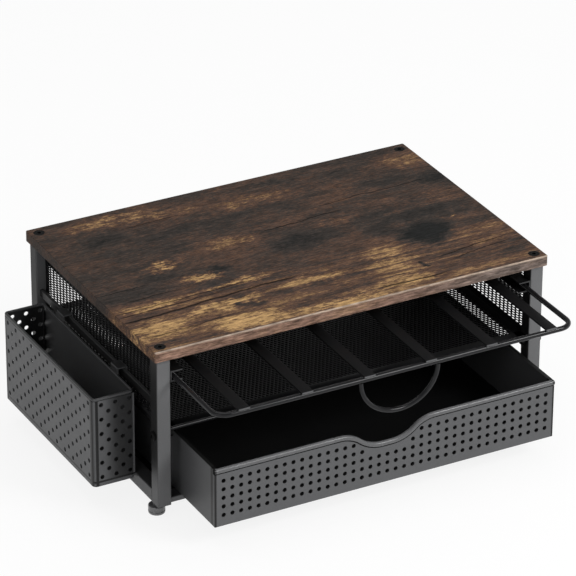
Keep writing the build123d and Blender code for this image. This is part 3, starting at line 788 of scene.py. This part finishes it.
class POD_OT_side_mesh(bpy.types.Operator):
    """Cuts the two side panels of slanting expanded metal, each with a ledge towards the shelf"""

    bl_idname = "pod.side_mesh"
    bl_label = "Side mesh"

    def execute(self, context):
        ledge_wide, ledge_thick, ledge_reach = 3.6 * MM, 0.8 * MM, 1.6 * MM
        for side, inwards in (("left", 1), ("right", -1)):
            name = f"side_mesh_{side}"
            lo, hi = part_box(name)
            x = (lo.x + hi.x) / 2 + inwards * ledge_reach
            low, high = (x - ledge_wide / 2, lo.y, lo.z), (x + ledge_wide / 2, hi.y, lo.z + ledge_thick)
            ledge = strip(low, high, 1)
            shape = joined(slanted_sheet(context.scene.pod_mesh, lo, hi, 2.0 * MM), ledge)
            mesh_piece("woven_" + name, shape, "stand", name, ["mesh coat"])
        return {"FINISHED"}


def lattice(first, steps, counts):
    """Points at first + (i, j) * steps for every i and j up to the counts, and the two arrays of i and j."""
    i, j = np.meshgrid(*(np.arange(count + 1) for count in counts), indexing="ij")
    return (np.stack([i, j], -1) * steps + first).reshape(-1, 2), i, j


def slanted_sheet(sizes, lo, hi, border):
    """Slanting openings in a rectangle of cells, inside a hem. Lattice points at half steps are shared by neighbouring
    cells; each odd-odd one is an opening's middle, ringed by a slim ellipse that is sheared by the tilt, up to a
    limit."""
    long_share, short_share, shear_limit = 0.39, 0.32, 0.16
    pitch, rise = sizes.side_pitch, sizes.side_rise
    cols = int((hi.y - lo.y - 2 * border) // pitch)
    rows = int((hi.z - lo.z - 2 * border) // rise)
    first_y = (lo.y + hi.y - cols * pitch) / 2
    first_z = (lo.z + hi.z - rows * rise) / 2
    flat, i, j = lattice((first_y, first_z), (pitch / 2, rise / 2), (2 * cols, 2 * rows))
    ci, cj = i[1::2, 1::2].ravel(), j[1::2, 1::2].ravel()
    width = 2 * rows + 1
    around = ((1, 0), (1, 1), (0, 1), (-1, 1), (-1, 0), (-1, -1), (0, -1), (1, -1))
    outer = np.stack([(ci + a) * width + cj + b for a, b in around], -1)
    turn = np.arctan2([b for a, b in around], [a for a, b in around])
    rim_y = pitch * long_share * np.cos(turn)
    shear = np.clip(rim_y * math.tan(sizes.side_tilt), -shear_limit * rise, shear_limit * rise)
    rim = np.stack([rim_y, rise * short_share * np.sin(turn) - shear], -1)
    inner = flat[ci * width + cj][:, None] + rim
    x, half_sheet, lap = (lo.x + hi.x) / 2, 0.2 * MM, 0.2 * MM
    parts = [pierced(flat, outer, inner, (x - half_sheet, lo.y, lo.z), (x + half_sheet, hi.y, hi.z), 0)]
    for z0, z1 in ((lo.z, first_z + lap), (first_z + rows * rise - lap, hi.z)):
        parts.append(strip((lo.x, lo.y, z0), (hi.x, hi.y, z1), 1))
    for y0, y1 in ((lo.y, first_y + lap), (first_y + cols * pitch - lap, hi.y)):
        parts.append(strip((lo.x, y0, lo.z), (hi.x, y1, hi.z), 2))
    return joined(*parts)


def pierced(flat, outer, inner, lo, hi, axis):
    """A sheet across an axis with openings, closed front, back and through each opening. flat holds the shared
    lattice points, outer their numbers round each cell and inner the opening's own points; the two faces are the
    same but mirrored."""
    count, corners = outer.shape
    used, numbers = np.unique(outer, return_inverse=True)
    outer = numbers.reshape(count, corners)
    rim = len(used) + np.arange(count * corners).reshape(count, corners)
    kept = [k for k in range(3) if k != axis]
    sheet = np.vstack([flat[used], inner.reshape(-1, 2)])
    sheet = np.clip(sheet, [lo[k] for k in kept], [hi[k] for k in kept])
    near, far = (np.insert(sheet, axis, face[axis], 1) for face in (lo, hi))
    outer2, rim2, total = np.roll(outer, -1, 1), np.roll(rim, -1, 1), len(sheet)
    front = np.stack([outer, rim, rim2, outer2], -1).reshape(-1, 4)
    back = np.stack([outer, outer2, rim2, rim], -1).reshape(-1, 4) + total
    wall = np.stack([rim, rim + total, rim2 + total, rim2], -1).reshape(-1, 4)
    return np.vstack([near, far]), [front, back, wall]


class POD_OT_shelf(bpy.types.Operator):
    """Makes the shelf of fine lozenge mesh, with its border, flanges and front rod"""

    bl_idname = "pod.shelf"
    bl_label = "Shelf"

    def execute(self, context):
        lo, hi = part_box("shelf_mesh")
        thick = 1.0 * MM
        parts = [lozenge_sheet(context.scene.pod_mesh, Vector((lo.x, lo.y, hi.z - thick)), hi, 6.0 * MM)]
        for x in (lo.x, hi.x - thick):
            parts.append(strip((x, lo.y, lo.z), (x + thick, hi.y, hi.z - thick), 1))
        mesh_piece("woven_shelf", joined(*parts), "stand", "shelf_mesh", ["mesh coat"])
        lo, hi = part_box("shelf_front_rod")
        _, y, z = halfway(lo, hi)
        shape = carry([(lo.x, y, z), (hi.x, y, z)], ring((hi.z - lo.z) / 2), UP)
        mesh_piece("round_shelf_rod", shape, "stand", "shelf_front_rod", ["wire lacquer"], 40)
        return {"FINISHED"}


def lozenge_sheet(sizes, lo, hi, border):
    """Lozenges side by side in a hem: middles where a half-step lattice's numbers add up even, corners where odd."""
    half_x, half_y = sizes.shelf_wide / 2, sizes.shelf_long / 2
    nx = int((hi.x - lo.x - 2 * border) // half_x) + 1
    ny = int((hi.y - lo.y - 2 * border) // half_y) + 1
    x0, y0 = (lo.x + hi.x - nx * half_x) / 2, (lo.y + hi.y - ny * half_y) / 2
    flat, i, j = lattice((x0, y0), (half_x, half_y), (nx, ny))
    even = (i[1:-1, 1:-1] + j[1:-1, 1:-1]) % 2 == 0
    ci, cj = i[1:-1, 1:-1][even], j[1:-1, 1:-1][even]
    around = ((1, 0), (0, 1), (-1, 0), (0, -1))
    outer = np.stack([(ci + a) * (ny + 1) + cj + b for a, b in around], -1)
    middle = flat[ci * (ny + 1) + cj]
    reach = np.array([(a * half_x, b * half_y) for a, b in around]) * sizes.open_share
    skin = 0.1 * MM
    low, high = (lo.x, lo.y, lo.z + skin), (hi.x, hi.y, hi.z - skin)
    parts = [pierced(flat, outer, middle[:, None] + reach, low, high, 2)]
    for a, b in ((lo.x, x0 + half_x), (x0 + (nx - 1) * half_x, hi.x)):
        parts.append(strip((a, lo.y, lo.z), (b, hi.y, hi.z), 1))
    for a, b in ((lo.y, y0 + half_y), (y0 + (ny - 1) * half_y, hi.y)):
        parts.append(strip((lo.x, a, lo.z), (hi.x, b, hi.z), 0))
    return joined(*parts)


class POD_OT_tray(bpy.types.Operator):
    """Bends the tray's wire, its flat bars and its pull"""

    bl_idname = "pod.tray"
    bl_label = "Tray"

    def execute(self, context):
        lo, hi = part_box("tray_wire_frame")
        r = (hi.z - lo.z) / 2
        path = round_rectangle((lo.x + r, lo.y + r), (hi.x - r, hi.y - r), 12 * MM, (lo.z + hi.z) / 2)
        shape = carry(path, ring(r, 24), UP, closed=True)
        mesh_piece("bent_tray_wire", shape, "tray", "tray_wire_frame", ["wire lacquer"], 60)
        for index in range(1, 7):
            name = f"tray_bar_{index}"
            lo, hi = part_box(name)
            x, _, z = halfway(lo, hi)
            shape = carry([(x, lo.y, z), (x, hi.y, z)], soft_box(hi.x - lo.x, hi.z - lo.z, 0.4 * MM), UP)
            finishes = ["bar coat", "bar end coat"]
            bar = mesh_piece(f"rounded_bar_{index}", shape, "tray", name, finishes, 40)
            for end in bar.data.polygons[-2:]:
                end.material_index = 1
        lo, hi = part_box("tray_pull_loop")
        r = (hi.y - lo.y) / 2
        turn = np.linspace(np.pi, 2 * np.pi, 49)
        x, y, _ = halfway(lo, hi)
        arc_x = x + ((hi.x - lo.x) / 2 - r) * np.cos(turn)
        arc_z = hi.z + (hi.z - lo.z - r) * np.sin(turn)
        shape = carry(np.stack([arc_x, np.full(len(turn), y), arc_z], -1), ring(r, 20), Y_AXIS)
        mesh_piece("bent_pull", shape, "tray", "tray_pull_loop", ["wire lacquer"], 60)
        return {"FINISHED"}


RIM_TALL = 4.5 * MM


class POD_OT_drawer(bpy.types.Operator):
    """Dresses the drawer and rolls its wavy rim"""

    bl_idname = "pod.drawer"
    bl_label = "Drawer"

    def execute(self, context):
        wear(["drawer_floor", "drawer_side_left", "drawer_side_right", "drawer_back"], "drawer coat")
        wear(["drawer_front"], "drawer front coat")
        lo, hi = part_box("drawer_front_rim")
        section, painted_shade_columns = rolled(hi.y - lo.y, RIM_TALL)
        shape = carry(wavy_path(lo, hi), section, (0, -1, 0))
        finishes = ["drawer rim coat", "gap shade"]
        rim = mesh_piece("rolled_drawer_rim", shape, "drawer", "drawer_front_rim", finishes, 50)
        # The back, the neck and the two end caps take the gap shade: painted shade inside the rim, under the roll and
        # at its ends.
        dark = np.isin(np.arange(len(rim.data.polygons)) % len(section), painted_shade_columns)
        dark[-2:] = True
        rim.data.polygons.foreach_set("material_index", dark.astype(np.int32))
        return {"FINISHED"}


def wavy_path(lo, hi):
    """The front's top edge, half a rim below it: flat, a crest arc and a trough arc down, flat, and the same back up.
    With t the arcs' turn and r their radius, the dip's run is 2 r sin t and its drop is 2 r (1 - cos t)."""
    width, drop, flat = 87 * MM, 14.5 * MM, 8 * MM
    run = (width - flat) / 2
    turn = 2 * math.atan2(drop, run)
    r = run / (2 * math.sin(turn))
    half = RIM_TALL / 2
    x, y, _ = halfway(lo, hi)
    down, rise = np.linspace(0, turn, 15), np.linspace(turn, 0, 15)
    crest = np.stack([-width / 2 + (r - half) * np.sin(down), -r + (r - half) * np.cos(down)], -1)
    trough = np.stack([-flat / 2 - (r + half) * np.sin(rise), r - drop - (r + half) * np.cos(rise)], -1)
    left = np.vstack([[lo.x - x, -half], crest, trough[1:]])
    path = np.vstack([left, left[::-1] * (-1, 1)])
    return np.column_stack([x + path[:, 0], np.full(len(path), y), hi.z + path[:, 1]])


def rolled(deep, tall):
    """A rolled edge's section about its middle, and the columns of faces that take a painted shadow: side is upwards
    and up is outwards. A bead with a flat top and back, and below it a set-back neck; the back and the neck are
    painted dark as the shade inside the rim and the gap under the roll."""
    gap, bulge, lip = 0.8 * MM, 1.2 * MM, 0.9 * MM
    half = (tall - gap) / 2
    turn = np.linspace(np.pi / 2, -np.pi / 2, 9)
    bead = np.stack([half * np.sin(turn) + gap / 2, deep / 2 - bulge + bulge * np.cos(turn)], -1)
    inset = deep / 2 - bulge - 0.4 * MM
    back = [[-tall / 2, -deep / 2], [tall / 2 - 0.3 * MM, -deep / 2], [tall / 2, lip - deep / 2]]
    neck = [[gap - tall / 2, inset], [-tall / 2, inset]]
    return np.vstack([back, bead, neck]), (0, 1, 11, 12, 13)


class POD_OT_basket(bpy.types.Operator):
    """Dresses the basket and rolls its rim"""

    bl_idname = "pod.basket"
    bl_label = "Basket"

    def execute(self, context):
        wear(starting("basket"), "basket coat")
        wear(["basket_front_wall", "basket_rear_wall"], "basket end coat")
        lo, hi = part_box("basket_rim")
        wide, round_off = 2.2 * MM, 0.9 * MM
        low, high = (lo.x + wide / 2, lo.y + wide / 2), (hi.x - wide / 2, hi.y - wide / 2)
        path = round_rectangle(low, high, 2.4 * MM, (lo.z + hi.z) / 2, 6)
        shape = carry(path, soft_box(wide, hi.z - lo.z, round_off), UP, closed=True)
        mesh_piece("rolled_basket_rim", shape, "basket", "basket_rim", ["basket rim coat"], 50)
        return {"FINISHED"}


# Each lamp: its name, place in metres, power in watts and side in metres.
LAMPS = (
    ("key", (1.1, -1.5, 1.5), 32.0, 0.9),
    ("fill", (-1.9, -0.9, 1.1), 5.0, 1.4),
    ("top", (0.0, 0.4, 2.2), 12.0, 1.6),
)
SKY_LIGHT = 0.45
PLAIN_WHITE_SHARE = 0.86


class POD_OT_stage(bpy.types.Operator):
    """Sets the floor, the lights and the camera"""

    bl_idname = "pod.stage"
    bl_label = "Stage"

    def execute(self, context):
        pale_floor()
        for lamp in LAMPS:
            soft_lamp(*lamp)
        pale_world()
        set_camera(context.scene.pod_camera)
        context.scene.view_settings.view_transform = "Standard"
        return {"FINISHED"}


def seen(tree):
    """One for the eye, and for what metal and glass mirror or pass, and nought for the light that falls on things."""
    path = tree.nodes.new("ShaderNodeLightPath").outputs
    return maths(tree, "MAXIMUM", *(path[f"Is {ray} Ray"] for ray in ("Glossy", "Transmission", "Camera")))


def blended(tree, share, first, second, output):
    """Feeds an output node with two shaders, mixed by share."""
    blend = tree.nodes.new("ShaderNodeMixShader")
    for socket, value in zip(blend.inputs, (share, first.outputs[0], second.outputs[0])):
        tree.links.new(value, socket)
    tree.links.new(blend.outputs[0], tree.nodes[output].inputs["Surface"])


def pale_floor():
    """A wide flat floor. To the eye most of it is plain white, and the rest keeps the object's shadow."""
    side = np.linspace(-3, 3, 9)
    x, y = np.meshgrid(side, side, indexing="ij")
    points = np.stack([x, y, np.zeros_like(x)], -1).reshape(-1, 3)
    mesh = bpy.data.meshes.new("floor")
    mesh.from_pydata(points.tolist(), [], grid_faces(9, 9)[:, ::-1].tolist())
    floor = bpy.data.objects.new("floor", mesh)
    bpy.context.scene.collection.objects.link(floor)
    material, tree, shader = principled("pale floor", 0.0, Base_Color=(0.93, 0.93, 0.93), Roughness=0.8)
    white = tree.nodes.new("ShaderNodeEmission")
    blended(tree, times(tree, seen(tree), PLAIN_WHITE_SHARE), shader, white, "Material Output")
    mesh.materials.append(material)


def soft_lamp(name, place, power, size):
    """A square lamp that faces the object's middle."""
    data = bpy.data.lights.new(name, "AREA")
    data.energy = power
    data.size = size
    lamp = bpy.data.objects.new(name, data)
    lamp.location = place
    lamp.rotation_euler = (Vector((0, 0, 70 * MM)) - Vector(place)).to_track_quat("-Z", "Y").to_euler()
    bpy.context.scene.collection.objects.link(lamp)


def pale_world():
    """An even pale sky as light. To the eye and in gloss it is white at the horizon and grey overhead."""
    world = bpy.data.worlds.new("pale sky")
    world.use_nodes = True
    tree = world.node_tree
    sky = tree.nodes["Background"]
    feed(tree, sky.inputs["Color"], (1, 1, 1))
    feed(tree, sky.inputs["Strength"], SKY_LIGHT)
    height = axes_of(tree, place_on(tree, "Generated"))[2]
    shade = ramp(tree, height, [(0.0, 1.0), (0.12, 1.0), (0.4, 0.3), (1.0, 0.2)])
    blended(tree, seen(tree), sky, node(tree, "ShaderNodeBackground", Color=shade), "World Output")
    bpy.context.scene.world = world


def set_camera(sizes):
    """Stands the camera off its aim along azimuth and elevation, moved aside and above, and turned by the roll."""
    az, el, roll = sizes.azimuth, sizes.elevation, sizes.roll
    back = Vector((math.sin(az) * math.cos(el), -math.cos(az) * math.cos(el), math.sin(el)))
    level = Vector(UP).cross(back).normalized()
    upright = back.cross(level)
    right = level * math.cos(roll) + upright * math.sin(roll)
    up = upright * math.cos(roll) - level * math.sin(roll)
    from_leg = Vector((179.98, 111.54, 76.05)) * MM
    place = Vector(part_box("leg_front_left")[0]) + from_leg
    place += back * sizes.distance + right * sizes.aside + up * sizes.above
    data = bpy.data.cameras.new("camera")
    data.lens = sizes.lens
    data.sensor_width = 36
    camera = bpy.data.objects.new("camera", data)
    camera.matrix_world = Matrix.Translation(place) @ Matrix((right, up, back)).transposed().to_4x4()
    bpy.context.scene.collection.objects.link(camera)
    bpy.context.scene.camera = camera


class POD_PT_panel(bpy.types.Panel):
    """Lists the steps in the sidebar"""

    bl_idname = "POD_PT_panel"
    bl_label = "Pod Drawer"
    bl_space_type = "VIEW_3D"
    bl_region_type = "UI"
    bl_category = "Pod Drawer"

    def draw(self, context):
        for step in STEPS:
            self.layout.operator(step.bl_idname)
        for name, kind in SETTINGS:
            for key in kind.__annotations__:
                self.layout.prop(getattr(context.scene, name), key)


STEPS = (
    POD_OT_finishes,
    POD_OT_board,
    POD_OT_frame,
    POD_OT_feet,
    POD_OT_side_mesh,
    POD_OT_shelf,
    POD_OT_tray,
    POD_OT_drawer,
    POD_OT_basket,
    POD_OT_stage,
)


def register():
    """Registers the classes and hangs the settings on the scene."""
    for name, kind in SETTINGS:
        bpy.utils.register_class(kind)
        setattr(bpy.types.Scene, name, bpy.props.PointerProperty(type=kind))
    for kind in (*STEPS, POD_PT_panel):
        bpy.utils.register_class(kind)


def unregister():
    """Undoes register."""
    for kind in (POD_PT_panel, *reversed(STEPS)):
        bpy.utils.unregister_class(kind)
    for name, kind in reversed(SETTINGS):
        delattr(bpy.types.Scene, name)
        bpy.utils.unregister_class(kind)


def main():
    """Runs every step in order."""
    register()
    for step in STEPS:
        section, action = step.bl_idname.split(".")
        getattr(getattr(bpy.ops, section), action)()


if __name__ == "__main__":
    main()
